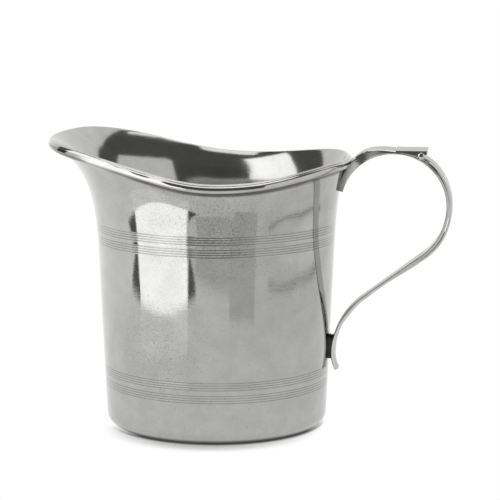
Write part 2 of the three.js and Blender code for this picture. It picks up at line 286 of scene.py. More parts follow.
reshape(pitcher_body, draw_lip)
bpy.ops.object.mode_set(mode="OBJECT")
print("drawn wall stands", round(pitcher_body.dimensions.z / MM, 1), "mm tall")

# %% [markdown]
# A skin is not yet a vessel. Solidify gives the wall its thickness inwards, and a bevel rounds
# the edges of the lip as use does. The lines are engraved last, so that they mark the outside
# only: their middle rows are sunk along the normals. They stay selected, and are marked for
# tarnish below.

# %% Body: wall thickness, soft lip and engraved lines
WALL = 1.7 * MM
LIP_ROUND, LIP_SEGMENTS = 0.55 * MM, 4
BEVEL_FROM = math.radians(60)
LINE_DEPTH = 0.05 * MM

finish_with(pitcher_body, "SOLIDIFY", thickness=WALL, offset=-1, use_even_offset=True)
finish_with(pitcher_body, "BEVEL", width=LIP_ROUND, segments=LIP_SEGMENTS, angle_limit=BEVEL_FROM)


def in_line(place):
    outside = math.hypot(place.x, place.y) > taper_radius(place.z) - WALL / 2
    return outside and any(abs(place.z - z) < WELD for z in line_middles)


bpy.ops.object.mode_set(mode="EDIT")
pick(pitcher_body, in_line)
bpy.ops.transform.shrink_fatten(value=-LINE_DEPTH)
bpy.ops.object.mode_set(mode="OBJECT")
fit(pitcher_body, "body_wall", sharp=25)

# %% [markdown]
# ## The bottom plate
#
# A flat disc closes the foot, flush with the ring that the jug stands on. It is a cylinder
# whose edge is eased, with a shallow turned ring sunk into both faces by insets, the mark that
# a lathe leaves on a plate like this.

# %% Bottom plate
PLATE = 1.6 * MM
PLATE_RADIUS = FOOT_RADIUS - FOOT_ROUND - FOOT_LAND
PLATE_EDGE = 0.25 * MM
RING_FROM_EDGE, RING_SLOPE, RING_WIDTH, RING_DEPTH = 7 * MM, 0.5 * MM, 0.9 * MM, 0.12 * MM
PLATE_MIDDLE = 12 * MM
RING_STEPS = [(RING_FROM_EDGE, 0), (RING_SLOPE, -RING_DEPTH), (RING_WIDTH, 0), (RING_SLOPE, RING_DEPTH),
              (PLATE_MIDDLE, 0)]

bottom_plate = start_mesh("bottom_plate", bpy.ops.mesh.primitive_cylinder_add, vertices=AROUND,
                          radius=PLATE_RADIUS, depth=PLATE, location=(0, 0, PLATE / 2))
bpy.ops.object.mode_set(mode="OBJECT")
bpy.ops.object.transform_apply(location=True)
finish_with(bottom_plate, "BEVEL", width=PLATE_EDGE, segments=2, angle_limit=BEVEL_FROM)
bpy.ops.object.mode_set(mode="EDIT")
for height in (0, PLATE):
    bpy.ops.mesh.select_all(action="DESELECT")
    mesh = bmesh.from_edit_mesh(bottom_plate.data)
    for face in mesh.faces:
        face.select_set(len(face.verts) == AROUND and abs(face.calc_center_median().z - height) < WELD)
    bmesh.update_edit_mesh(bottom_plate.data)
    for inset, depth in RING_STEPS:
        bpy.ops.mesh.inset(thickness=inset, depth=depth)
bpy.ops.object.mode_set(mode="OBJECT")
fit(bottom_plate, "base_disc", sharp=25)

# %% [markdown]
# ## The band round the lip
#
# A half-round band is soldered round the outside of the lip to stiffen it. It could follow a
# curve with a bevel object. It is turned here as a plain ring on the same lathe, and then laid
# along the lip: how far each vertex is below the edge and off the wall stays as it was turned.
# Its lower edge and the tip of the spout are darkened with painted shade.

# %% Rim band: turn a half-round ring
BAND_HEIGHT, BAND_THICKNESS = 3.4 * MM, 1.46 * MM
BAND_SETBACK, BAND_SINK = 0.09 * MM, 0.58 * MM
BAND_START = math.radians(8)
BAND_ROWS = 16
# Where painted shade darkens the band: along its lower edge, and at the tip of the spout.
BAND_SHADE_FROM, BAND_SHADE_FULL = 1.55 * MM, 2.1 * MM
TIP_SHADE, TIP_SHADE_ENDS, TIP_DARK = 0.75, 47, 38


def band_outline():
    face = []
    for row in range(BAND_ROWS + 1):
        turn = BAND_START + (math.pi - BAND_START) * row / BAND_ROWS
        below = BAND_SETBACK + BAND_HEIGHT / 2 * (math.cos(BAND_START) - math.cos(turn))
        face.append((MOUTH_RADIUS + BAND_THICKNESS * math.sin(turn), RIM_LOW - below))
    inside = MOUTH_RADIUS - BAND_SINK
    return face + [(inside, face[row][1]) for row in (-1, BAND_ROWS // 2, 0)]


def shade_on_band(place):
    tip = TIP_SHADE * ease(from_spout(side_of(place)), TIP_SHADE_ENDS, TIP_DARK)
    return max(tip, ease(RIM_LOW - place.z, BAND_SHADE_FROM, BAND_SHADE_FULL))


rim_moulding = turn_on_lathe("rim_moulding", band_outline(), closed=True)
band_shade = [shade_on_band(vert.co) for vert in bmesh.from_edit_mesh(rim_moulding.data).verts]
print("turned ring:", len(band_shade), "vertices")


# %% Rim band: lay it along the lip
LIP_WALK = 12


def height_below_lip(side, distance):
    """Height at a distance down the outside of the wall from the edge of the lip."""
    angle = from_spout(side)
    z = rim_height(angle)
    for _ in range(LIP_WALK):
        z -= distance / LIP_WALK / math.hypot(1, flare(angle, z)[1] + TAPER)
    return z


def along_lip(place):
    side = side_of(place)
    off = math.hypot(place.x, place.y) - MOUTH_RADIUS
    return wall_point(side, height_below_lip(side, RIM_LOW - place.z), off)


reshape(rim_moulding, along_lip)
bpy.ops.object.mode_set(mode="OBJECT")
# On the band this attribute holds only painted shade.
mark(rim_moulding, "tarnish_and_shade", band_shade)
fit(rim_moulding, "rim_band", sharp=40)

# %% [markdown]
# Dirt gathers in the engraved lines, where a polishing cloth doesn't reach, and the wall just
# under the band is darkened with painted shade. The inside is duller than the outside. Two
# attributes hold these for the body's material.

# %% Body: dirt in the lines, painted shade under the band, and where it is dull
LINE_DIRT = 0.65
CORNER_TOP, CORNER_FULL, CORNER_END = 1.0 * MM, 4.2 * MM, 5.2 * MM
SKIN = 0.4 * MM


def is_outside(place):
    wall = wall_radius(from_spout(side_of(place)), place.z)
    return math.hypot(place.x, place.y) > wall - SKIN


# Painted shade on the outside of the wall, just under the band.
def corner_shade(place):
    if place.z < DRAW_START or not is_outside(place):
        return 0.0
    side = side_of(place)
    if place.z > height_below_lip(side, CORNER_TOP):
        return 0.0
    return ease(place.z, height_below_lip(side, CORNER_END), height_below_lip(side, CORNER_FULL))


body_verts = pitcher_body.data.vertices
# The attribute holds dirt in the engraved lines and painted shade under the band.
mark(pitcher_body, "tarnish_and_shade", [max(LINE_DIRT * v.select, corner_shade(v.co)) for v in body_verts])
mark(pitcher_body, "dull", [0.0 if is_outside(v.co) else 1.0 for v in body_verts])
print("tarnish on", sum(1 for v in body_verts if v.select), "vertices of the engraved lines")

# %% [markdown]
# ## The handle
#
# The handle is a cast strap. A tongue lies on the wall below the lip, the strap rises over a
# round crown, comes down the back of the scroll, runs straight to the wall and ends in a short
# tail. Its back has a bead at each edge and a fine groove runs along its sides. Both fade out on
# the straight run, where the inner face is rounded instead. It is modelled straight, as a long
# prism cut into rows, and then bent: every row is carried to its place along the path and given
# its width and depth there. A Curve modifier bends a strap too, but it can't change the section
# on the way.

# %% Handle: the path of the strap
SOLDER_FILM = 0.3 * MM
CROWN_RADIUS, BACK_RADIUS = 19.9 * MM, 23.2 * MM
CROWN_ABOVE_RIM = 2.45 * MM
TONGUE_LENGTH, TONGUE_EDGE = 12.3 * MM, 1.05 * MM
SHOULDER_ROOM = 3 * MM
SWEEP_RADIUS, SWEEP_HEIGHT = 27.8 * MM, 27.6 * MM
TAIL_RADIUS, TAIL_ANGLE = 13 * MM, 29
STRUT_THICKNESS = 0.45 * MM


def crown_centre():
    """Centre of the crown, the angle where the tongue starts and its room off the wall."""
    lip = rim_height(HANDLE_SIDE)
    z = lip + CROWN_ABOVE_RIM - CROWN_RADIUS
    tongue_end = lip - TONGUE_LENGTH
    wall = wall_radius(HANDLE_SIDE, tongue_end)
    band = rim_radius(HANDLE_SIDE) + BAND_THICKNESS + SOLDER_FILM
    over_tongue = math.sqrt(CROWN_RADIUS**2 - (tongue_end - z) ** 2)
    over_lip = math.sqrt(CROWN_RADIUS**2 - (lip - z) ** 2)
    x = max(wall + SOLDER_FILM + TONGUE_EDGE + over_tongue, band + SHOULDER_ROOM + over_lip)
    start = math.pi - math.asin((tongue_end - z) / CROWN_RADIUS)
    return Vector((x, 0, z)), start, x - over_tongue - wall


def arc_leg(centre, radius, start, end):
    """Length of an arc, and a function of place and direction along it."""
    turn = 1 if end > start else -1

    def at(run):
        angle = start + turn * run / radius
        out = Vector((math.cos(angle), 0, math.sin(angle)))
        return centre + radius * out, turn * Vector((-out.z, 0, out.x))

    return radius * abs(end - start), at


def straight_leg(start, end):
    """Length of a straight run, and a function of place and direction along it."""
    ahead = (end - start).normalized()
    return (end - start).length, lambda run: (start + run * ahead, ahead)


crown, tongue_angle, tongue_room = crown_centre()
sweep_x = taper_radius(SWEEP_HEIGHT) + SOLDER_FILM + STRUT_THICKNESS + SOLDER_FILM + SWEEP_RADIUS
sweep = Vector((sweep_x, 0, SWEEP_HEIGHT))
back = crown + Vector((CROWN_RADIUS - BACK_RADIUS, 0, 0))
gap = sweep - back
lean = math.asin((BACK_RADIUS + SWEEP_RADIUS) / gap.length)
leave = math.atan2(gap.z, gap.x) - lean + math.pi / 2
tail = sweep + Vector((TAIL_RADIUS - SWEEP_RADIUS, 0, 0))
crown_leg = arc_leg(crown, CROWN_RADIUS, tongue_angle, 0)
back_leg = arc_leg(back, BACK_RADIUS, 0, leave)
sweep_leg = arc_leg(sweep, SWEEP_RADIUS, leave + math.pi, math.pi)
tail_leg = arc_leg(tail, TAIL_RADIUS, math.pi, math.pi + math.radians(TAIL_ANGLE))
shank_leg = straight_leg(back_leg[1](back_leg[0])[0], sweep_leg[1](0)[0])
strap_legs = [crown_leg, back_leg, shank_leg, sweep_leg, tail_leg]
strap_length = sum(length for length, _ in strap_legs)
print(f"strap: {strap_length / MM:.1f} mm along the face towards the fingers")

# %% [markdown]
# Each station of the strap gives a share of its length, and the width, the depth and the round of
# the inner face there. Between two stations the sizes pass smoothly from one to the next.

# %% Handle: widths and depths
TONGUE_BITE = 0.9 * MM
CROWN_WIDTH = 13.0 * MM
STATIONS = [
    (0.00, 10.0 * MM, tongue_room + TONGUE_BITE, 0),
    (0.10, 11.5 * MM, 3.6 * MM, 0),
    (0.20, CROWN_WIDTH, 1.2 * MM, 0),
    (0.30, 12.0 * MM, 2.0 * MM, 0),
    (0.44, 10.5 * MM, 2.17 * MM, 0),
    (0.50, 10.0 * MM, 2.35 * MM, 0),
    (0.58, 9.5 * MM, 2.1 * MM, 0),
    (0.70, 8.7 * MM, 1.45 * MM, 0.15 * MM),
    (0.76, 8.3 * MM, 1.7 * MM, 0.35 * MM),
    (0.82, 7.8 * MM, 2.1 * MM, 0.7 * MM),
    (0.88, 7.4 * MM, 1.7 * MM, 0.3 * MM),
    (0.93, 7.1 * MM, 1.6 * MM, 0),
    (1.00, 6.5 * MM, 1.3 * MM, 0),
]


def strap_size(share):
    """Width and depth of the strap at a share of its length, and the round of its inner face."""
    for (start, *sizes), (end, *next_sizes) in zip(STATIONS, STATIONS[1:]):
        if share <= end:
            blend = ease(share, start, end)
            return [size + blend * (after - size) for size, after in zip(sizes, next_sizes)]
    return STATIONS[-1][1:]


def strap_at(share):
    """Place and direction on the face towards the fingers."""
    run = share * strap_length
    for length, at in strap_legs[:-1]:
        if run <= length:
            return at(run)
        run -= length
    return strap_legs[-1][1](min(run, strap_legs[-1][0]))


print(f"strap: {strap_size(0)[0] / MM:.0f} mm wide at the tongue, {strap_size(1)[0] / MM:.1f} at the tip")

# %% Handle: its section
REED_WIDTH, REED_DEPTH = 1.1 * MM, 0.3 * MM
STRAP_EDGE, EDGE_HEIGHT = 0.3 * MM, 0.28 * MM
RIB_CROWN = 0.12 * MM
GROOVE_SHARE, GROOVE_CUT = 0.12, 0.8
SECTION = 120
FACE_PART, SIDE_PART = 0.4, 0.4


def section_point(turn, width, depth, inner_round, reed, groove):
    """Point of the section: turn runs once round it, from the middle of the back outwards."""
    edge = min(STRAP_EDGE, depth / 2)
    half = width / 2
    gone = 1 - abs(2 * turn - 1)
    mirrored = -1 if turn > 0.5 else 1
    if gone < FACE_PART:
        across = gone / FACE_PART * (half - edge)
        from_groove = (across - (half - 1.5 * REED_WIDTH)) / (REED_WIDTH / 2)
        cut = reed * REED_DEPTH * max(0, 1 - from_groove**2)
        return mirrored * across, depth - cut - RIB_CROWN * (across / half) ** 2
    down = (gone - FACE_PART) / SIDE_PART
    if down < 1:
        flank = depth - RIB_CROWN - inner_round
        swell = min(1, min(down, 1 - down) * flank / EDGE_HEIGHT)
        swell -= groove * GROOVE_CUT * max(0, 1 - abs(down - 0.5) / GROOVE_SHARE)
        return mirrored * (half - edge + edge * swell), inner_round + flank * (1 - down)
    inward = (gone - FACE_PART - SIDE_PART) / (1 - FACE_PART - SIDE_PART)
    return mirrored * (half - edge) * (1 - inward), inner_round * (1 - inward) ** 2


print("section of the strap:", SECTION, "points")

# %% Handle: a straight prism in rows
STRAP_ROWS = 150
PRISM_RADIUS = 5 * MM

scroll_handle = start_mesh("scroll_handle", bpy.ops.mesh.primitive_circle_add, vertices=SECTION,
                           radius=PRISM_RADIUS, fill_type="NGON", rotation=(0, math.pi / 2, 0))
bpy.ops.object.mode_set(mode="OBJECT")
bpy.ops.object.transform_apply(rotation=True)
bpy.ops.object.mode_set(mode="EDIT")
bpy.ops.mesh.extrude_region_move(TRANSFORM_OT_translate={"value": (strap_length, 0, 0)})
bpy.ops.mesh.select_all(action="DESELECT")
mesh = bmesh.from_edit_mesh(scroll_handle.data)
for edge in mesh.edges:
    edge.select_set(abs(edge.verts[0].co.x - edge.verts[1].co.x) > strap_length / 2)
bmesh.update_edit_mesh(scroll_handle.data)
bpy.ops.mesh.subdivide(number_cuts=STRAP_ROWS - 1)
bpy.ops.mesh.select_all(action="SELECT")
bpy.ops.mesh.normals_make_consistent(inside=False)
print("straight strap:", len(bmesh.from_edit_mesh(scroll_handle.data).faces), "faces")

# %% [markdown]
# Bending the strap leaves its tongue a little inside the wall, as the casting is before it is
# filed to fit. So every vertex that would go through the wall stops just under its surface,
# where the solder hides the joint.

# %% Handle: bend it along the path and file the tongue
REED_ENDS_AT, GROOVE_STARTS, GROOVE_FULL = 0.62, 0.2, 0.3
TONGUE_SINK = 0.3 * MM
END_ROUND = 0.3 * MM


def file_to_wall(place):
    angle = from_spout(side_of(place))
    if place.z > rim_height(angle):
        return place
    wall = wall_radius(angle, place.z) - TONGUE_SINK
    radius = math.hypot(place.x, place.y)
    if radius >= wall:
        return place
    return Vector((place.x * wall / radius, place.y * wall / radius, place.z))


def bend_strap(place):
    share = min(1, max(0, place.x / strap_length))
    turn = round((math.atan2(place.y, place.z) / (2 * math.pi) % 1) * SECTION) / SECTION
    reed = ease(share, REED_ENDS_AT, REED_ENDS_AT / 2)
    groove = reed * ease(share, GROOVE_STARTS, GROOVE_FULL)
    across, out = section_point(turn, *strap_size(share), reed, groove)
    here, ahead = strap_at(share)
    bent = Vector((here.x - ahead.z * out, across, here.z + ahead.x * out))
    return file_to_wall(bent)


pick(scroll_handle, lambda place: place.x > strap_length - WELD)
reshape(scroll_handle, bend_strap)
bpy.ops.mesh.bevel(offset=END_ROUND, segments=3, affect="EDGES", clamp_overlap=True)
bpy.ops.mesh.select_all(action="SELECT")
bpy.ops.mesh.normals_make_consistent(inside=False)
bpy.ops.object.mode_set(mode="OBJECT")
print("bent strap stands", round(scroll_handle.dimensions.z / MM, 1), "mm tall")

# %% Handle: painted shade in the corner between the tongue and the wall
ROOT_SHADE, ROOT_DARK, ROOT_SHADE_ENDS = 0.8, 0.3 * MM, 3.2 * MM


# Painted shade on the strap where it meets the wall at the root.
def root_shade(place):
    if place.z < crown.z:
        return 0.0
    wall = wall_radius(HANDLE_SIDE, place.z)
    return ROOT_SHADE * ease(math.hypot(place.x, place.y) - wall, ROOT_SHADE_ENDS, ROOT_DARK)


mark(scroll_handle, "tarnish_and_shade", [root_shade(vert.co) for vert in scroll_handle.data.vertices])
fit(scroll_handle, "handle_strap", sharp=40)

# %% [markdown]
# ## The thumb rest
#
# Behind the top of the crown a square-ended wedge carries the line of the strap straight on, for
# the thumb to press when pouring. A small roll with domed ends fills the corner under it. The
# wedge's outline is extruded vertex by vertex along the back of the strap, filled and pulled out
# to the width of the crown. The roll is a cylinder joined by a union, so the two make one casting.

# %% Thumb rest: outline of the wedge
SPUR_LENGTH, SPUR_THICKNESS, SPUR_FEATHER = 12.5 * MM, 1.4 * MM, 0.04 * MM
SEAT_STEP = 0.005
SEAT_SINK = 0.15 * MM


def back_of_strap(share, off):
    here, ahead = strap_at(share)
    out = strap_size(share)[1] + off
    return Vector((here.x - ahead.z * out, 0, here.z + ahead.x * out))


crown_top = CROWN_RADIUS * (tongue_angle - math.pi / 2) / strap_length
spur_top = back_of_strap(crown_top, 0).z
spur_end = crown.x + SPUR_LENGTH


def spur_outline():
    """Along the top of the strap's back until the wedge is thick enough, then round its end."""
    seat = []
    share, drop = crown_top, 0
    while drop < SPUR_THICKNESS:
        if drop > SPUR_FEATHER:
            seat.append(back_of_strap(share, -SEAT_SINK))
        share += SEAT_STEP
        drop = spur_top - back_of_strap(share, 0).z
    end = [Vector((spur_end, 0, spur_top - SPUR_THICKNESS)), Vector((spur_end, 0, spur_top))]
    return [Vector((seat[0].x, 0, spur_top)), *seat, *end]


wedge = spur_outline()
print(f"thumb rest: top at {spur_top / MM:.1f} mm, end at {spur_end / MM:.1f} mm, {len(wedge)} points")

# %% Thumb rest: wedge
SPUR_EDGE = 0.28 * MM

thumb_rest = start_mesh("thumb_rest", bpy.ops.mesh.primitive_plane_add, size=MM)
bpy.ops.mesh.merge(type="CENTER")
bpy.ops.transform.translate(value=wedge[0] + Vector((0, -CROWN_WIDTH / 2, 0)))
for here, there in zip(wedge, wedge[1:]):
    bpy.ops.mesh.extrude_vertices_move(TRANSFORM_OT_translate={"value": there - here})
bpy.ops.mesh.select_all(action="SELECT")
bpy.ops.mesh.edge_face_add()
bpy.ops.mesh.extrude_region_move(TRANSFORM_OT_translate={"value": (0, CROWN_WIDTH, 0)})
bpy.ops.mesh.select_all(action="SELECT")
bpy.ops.mesh.normals_make_consistent(inside=False)
pick(thumb_rest, lambda place: place.x > spur_end - WELD)
bpy.ops.mesh.bevel(offset=SPUR_EDGE, segments=3, affect="EDGES", clamp_overlap=True)
bpy.ops.object.mode_set(mode="OBJECT")
print("wedge:", len(thumb_rest.data.polygons), "faces")

# %% Thumb rest: roll in the corner
ROLL_DIAMETER, ROLL_LENGTH, ROLL_ROUND = 3.0 * MM, 13.8 * MM, 0.95 * MM
ROLL_BACK, ROLL_DROP = 2.2 * MM, 0.5 * MM

roll_middle = Vector((spur_end - ROLL_BACK, 0, spur_top - SPUR_THICKNESS - ROLL_DROP))
corner_roll = start_mesh("corner_roll", bpy.ops.mesh.primitive_cylinder_add, vertices=24,
                         radius=ROLL_DIAMETER / 2, depth=ROLL_LENGTH, location=roll_middle,
                         rotation=(math.pi / 2, 0, 0))
bpy.ops.object.mode_set(mode="OBJECT")
bpy.ops.object.transform_apply(location=True, rotation=True)
finish_with(corner_roll, "BEVEL", width=ROLL_ROUND, segments=6, angle_limit=BEVEL_FROM)
bpy.ops.object.select_all(action="DESELECT")
bpy.context.view_layer.objects.active = thumb_rest
thumb_rest.select_set(True)
finish_with(thumb_rest, "BOOLEAN", operation="UNION", object=corner_roll)
bpy.data.objects.remove(corner_roll)
fit(thumb_rest, "thumb_spur", sharp=35)

# %% [markdown]
# ## The foot of the handle
#
# Where the strap sweeps closest to the wall, a small block is soldered between the two. It is a
# cube, subdivided so that its inner face can be filed to the round of the wall and its outer face
# to the round of the strap. Its top is hollow, where the solder runs up on both sides.

# %% Foot of the handle
STRUT_WIDTH, STRUT_LOW, STRUT_HIGH = 6 * MM, 25.8 * MM, 34 * MM
STRUT_SINK, STRUT_FILLET = 0.15 * MM, 1.0 * MM
STRUT_CUTS = 7
STRUT_EDGE, STRUT_BEVEL_FROM = 0.25 * MM, math.radians(50)

handle_foot = start_mesh("handle_foot", bpy.ops.mesh.primitive_cube_add, size=1)
bpy.ops.mesh.subdivide(number_cuts=STRUT_CUTS)


def file_strut(place):
    """Stretch the cube, which reaches from -0.5 to 0.5 each way, between the wall and the strap."""
    y = place.y * STRUT_WIDTH
    top = STRUT_HIGH + STRUT_FILLET * (2 * place.x) ** 2
    z = STRUT_LOW + (place.z + 0.5) * (top - STRUT_LOW)
    wall = math.sqrt(taper_radius(z) ** 2 - y**2) - STRUT_SINK
    strap = sweep.x - math.sqrt(SWEEP_RADIUS**2 - (z - sweep.z) ** 2) + STRUT_SINK
    return Vector((wall + (place.x + 0.5) * (strap - wall), y, z))


reshape(handle_foot, file_strut)
bpy.ops.object.mode_set(mode="OBJECT")
finish_with(handle_foot, "BEVEL", width=STRUT_EDGE, segments=2, angle_limit=STRUT_BEVEL_FROM)
fit(handle_foot, "lower_strut", sharp=35)

# %% [markdown]
# ## Pewter
#
# Pewter is a soft grey metal, a little warm, that is polished by hand and dulls as it ages. Its
# surface shows cloudy tarnish a few millimetres across, fine dark specks and pits, grain where a
# stain has eaten in, faint lines round the body from the lathe, and shallow waves. One node
# group makes these as masks, and each material mixes them in its own way.

# %% Node helpers
def add_node(tree, kind, values=None, **settings):
    """Add a node with its settings, and then the values of its sockets by name or number."""
    node = tree.nodes.new(kind)
    for name, value in settings.items():
        setattr(node, name, value)
    for socket, value in (values or {}).items():
        node.inputs[socket].default_value = value
    return node


def join(tree, source, output, target, socket):
    tree.links.new(source.outputs[output], target.inputs[socket])


# %% Node group: clouds, specks, grain, turning lines and waves
CLOUD_SCALE, SPECK_SCALE, LINE_SCALE, WAVE_SCALE = 120, 1400, 3500, 70
LINE_STRETCH = (0.012, 0.012, 1)


def make_patina():
    group = bpy.data.node_groups.new("pewter_patina", "ShaderNodeTree")
    group.interface.new_socket("Vector", in_out="INPUT", socket_type="NodeSocketVector")
    for name in ("Clouds", "Specks", "Grain", "Lines", "Waves"):
        group.interface.new_socket(name, in_out="OUTPUT", socket_type="NodeSocketFloat")
    given = group.nodes.new("NodeGroupInput")
    made = group.nodes.new("NodeGroupOutput")
    clouds = add_node(group, "ShaderNodeTexNoise", {"Scale": CLOUD_SCALE, "Detail": 6, "Roughness": 0.62,
                                                    "Distortion": 0.4})
    specks = add_node(group, "ShaderNodeTexNoise", {"Scale": SPECK_SCALE, "Detail": 3, "Roughness": 0.7})
    speck_ramp = add_node(group, "ShaderNodeMapRange", {"From Min": 0.6, "From Max": 0.78})
    grain_ramp = add_node(group, "ShaderNodeMapRange", {"From Min": 0.42, "From Max": 0.66})
    stretch = add_node(group, "ShaderNodeMapping", {"Scale": LINE_STRETCH})
    lines = add_node(group, "ShaderNodeTexNoise", {"Scale": LINE_SCALE, "Detail": 3, "Roughness": 0.6})
    waves = add_node(group, "ShaderNodeTexNoise", {"Scale": WAVE_SCALE, "Detail": 1, "Roughness": 0.4})
    for reader in (clouds, specks, stretch, waves):
        join(group, given, "Vector", reader, "Vector")
    join(group, stretch, "Vector", lines, "Vector")
    join(group, specks, "Fac", speck_ramp, "Value")
    join(group, specks, "Fac", grain_ramp, "Value")
    join(group, clouds, "Fac", made, "Clouds")
    join(group, speck_ramp, "Result", made, "Specks")
    join(group, grain_ramp, "Result", made, "Grain")
    join(group, lines, "Fac", made, "Lines")
    join(group, waves, "Fac", made, "Waves")
    return group


patina = make_patina()
print("node group:", patina.name, "with", len(patina.nodes), "nodes")

# %% [markdown]
# The colour is built up in layers, each darkening the one below: clouds, specks, stains with a
# grain, and the tarnish and painted shade that the attribute marks.

# %% Pewter: colour
CLOUD_RANGE = (0.3, 0.68)
# The last tone darkens what the attribute marks: dirt in the engraved lines and painted shade.
SPECK_TONE, STAIN_TONE, TARNISH_AND_SHADE_TONE = (0.62, 0.61, 0.59), (0.73, 0.725, 0.72), (0.25, 0.245, 0.235)


def darken(tree, colour, amount, amount_output, tone):
    """Layer that multiplies a colour by a tone where the amount says."""
    layer = add_node(tree, "ShaderNodeMix", {"B": (*tone, 1)}, data_type="RGBA", blend_type="MULTIPLY")
    tree.links.new(colour, layer.inputs["A"])
    join(tree, amount, amount_output, layer, "Factor")
    return layer.outputs["Result"]


def add_stain(tree, place, skin, middle, radius):
    """Grain inside a soft ball round a spot, in millimetres."""
    spot = add_node(tree, "ShaderNodeMapping", {
        "Location": [-value / radius for value in middle],
        "Scale": [1 / (radius * MM)] * 3,
    })
    ball = add_node(tree, "ShaderNodeTexGradient", gradient_type="SPHERICAL")
    stain = add_node(tree, "ShaderNodeMath", operation="MULTIPLY", use_clamp=True)
    join(tree, place, "Object", spot, "Vector")
    join(tree, spot, "Vector", ball, "Vector")
    join(tree, ball, "Fac", stain, 0)
    join(tree, skin, "Grain", stain, 1)
    return stain


def add_colour(tree, place, skin, dark, light, stains):
    tone = add_node(tree, "ShaderNodeValToRGB")
    for element, position, colour in zip(tone.color_ramp.elements, CLOUD_RANGE, (dark, light)):
        element.position = position
        element.color = (*colour, 1)
    join(tree, skin, "Clouds", tone, "Fac")
    marks = add_node(tree, "ShaderNodeAttribute", attribute_name="tarnish_and_shade")
    colour = darken(tree, tone.outputs["Color"], skin, "Specks", SPECK_TONE)
    for middle, radius in stains:
        stain = add_stain(tree, place, skin, middle, radius)
        colour = darken(tree, colour, stain, "Value", STAIN_TONE)
    return darken(tree, colour, marks, "Fac", TARNISH_AND_SHADE_TONE)


# %% [markdown]
# Roughness follows the clouds and rises where the piece is dull. The relief is slight: turning
# lines, pits, and the shallow waves that hand work leaves, which make the mirrored edges waver.

# %% Pewter: gloss and relief
GLOSS_RANGE, DULL_ROUGHNESS = (0.3, 0.7), 0.07
PIT_LIFT, RELIEF_STRENGTH, RELIEF_HEIGHT = -0.6, 0.25, 0.02 * MM


def add_gloss(tree, skin, rough):
    gloss = add_node(tree, "ShaderNodeMapRange", {"From Min": GLOSS_RANGE[0], "From Max": GLOSS_RANGE[1],
                                                  "To Min": rough[0], "To Max": rough[1]})
    dullness = add_node(tree, "ShaderNodeAttribute", attribute_name="dull")
    worn = add_node(tree, "ShaderNodeMath", {1: DULL_ROUGHNESS}, operation="MULTIPLY_ADD")
    join(tree, skin, "Clouds", gloss, "Value")
    join(tree, dullness, "Fac", worn, 0)
    join(tree, gloss, "Result", worn, 2)
    return worn


def add_relief(tree, skin, waves):
    pits = add_node(tree, "ShaderNodeMath", {1: PIT_LIFT}, operation="MULTIPLY_ADD")
    relief = add_node(tree, "ShaderNodeMath", {1: waves}, operation="MULTIPLY_ADD")
    lift = add_node(tree, "ShaderNodeBump", {"Strength": RELIEF_STRENGTH, "Distance": RELIEF_HEIGHT})
    join(tree, skin, "Specks", pits, 0)
    join(tree, skin, "Lines", pits, 2)
    join(tree, skin, "Waves", relief, 0)
    join(tree, pits, "Value", relief, 2)
    join(tree, relief, "Value", lift, "Height")
    return lift


def make_pewter(name, dark, light, rough, rim=1.0, waves=2.0, stains=()):
    """Metal between two greys; rim tints what it mirrors at a flat angle."""
    material = bpy.data.materials.new(name)
    material.use_nodes = True
    tree = material.node_tree
    shader = tree.nodes["Principled BSDF"]
    shader.inputs["Metallic"].default_value = 1.0
    shader.inputs["Specular Tint"].default_value = (rim, rim, rim, 1)
    place = add_node(tree, "ShaderNodeTexCoord")
    skin = add_node(tree, "ShaderNodeGroup", node_tree=patina)
    join(tree, place, "Object", skin, "Vector")
    tree.links.new(add_colour(tree, place, skin, dark, light, stains), shader.inputs["Base Color"])
    join(tree, add_gloss(tree, skin, rough), "Value", shader, "Roughness")
    join(tree, add_relief(tree, skin, waves), "Normal", shader, "Normal")
    return material


# %% Pewter: one finish for each kind of piece
FRONT_STAINS = [((-4, -50, 86), 30), ((-18, -44, 36), 26), ((12, -46, 78), 22)]

polished = make_pewter("polished_pewter", dark=(0.41, 0.411, 0.402), light=(0.48, 0.481, 0.471),
                       rough=(0.035, 0.065), waves=12.0, stains=FRONT_STAINS)
dull = make_pewter("dull_pewter", dark=(0.34, 0.335, 0.32), light=(0.43, 0.425, 0.41), rough=(0.28, 0.4))
bright = make_pewter("bright_pewter", dark=(0.46, 0.455, 0.44), light=(0.52, 0.515, 0.50), rough=(0.03, 0.06))
cast = make_pewter("cast_pewter", dark=(0.56, 0.558, 0.548), light=(0.63, 0.628, 0.617), rough=(0.04, 0.08),
                   rim=0.7)
# The foot of the handle is near black: painted shade in the gap between the wall and the strap.
shaded_strut = make_pewter("strut_painted_shade", dark=(0.03, 0.03, 0.028), light=(0.07, 0.069, 0.066), rough=(0.3, 0.45),
                     rim=0.2)
finishes = [(pitcher_body, polished), (bottom_plate, dull), (rim_moulding, bright), (scroll_handle, cast),
            (thumb_rest, cast), (handle_foot, shaded_strut)]
for piece, material in finishes:
    piece.data.materials.clear()
    piece.data.materials.append(material)
print("finishes:", ", ".join(sorted({material.name for _, material in finishes})))

# %% [markdown]
# ## The studio
#
# Polished metal has hardly any colour of its own: what it shows is the room. So the room is built
# with care. The jug stands on a white table that fades to white behind it. A tall soft light
# stands close by at the left, a broad one hangs overhead, and the room behind the camera and
# above the right side is dark. The cards light the metal and stay out of the camera's sight.
#
# The table is white by itself to the camera; in the metal a painted falloff of light fades its
# white, brighter towards the left. Two shadows darken it: a soft one in front of the jug, fainter
# in the metal than to the camera, and a tight one along the foot.

# %% Table
TABLE_SIZE, TABLE_DROP = 12.0, 0.02 * MM


def add_plane(name, **settings):
    """Add a plane with nothing else selected."""
    bpy.ops.object.select_all(action="DESELECT")
    bpy.ops.mesh.primitive_plane_add(**settings)
    plane = bpy.context.object
    plane.name = name
    return plane


floor = add_plane("white_table", size=TABLE_SIZE, location=(0, 0, -TABLE_DROP))
print("table:", TABLE_SIZE, "m across")

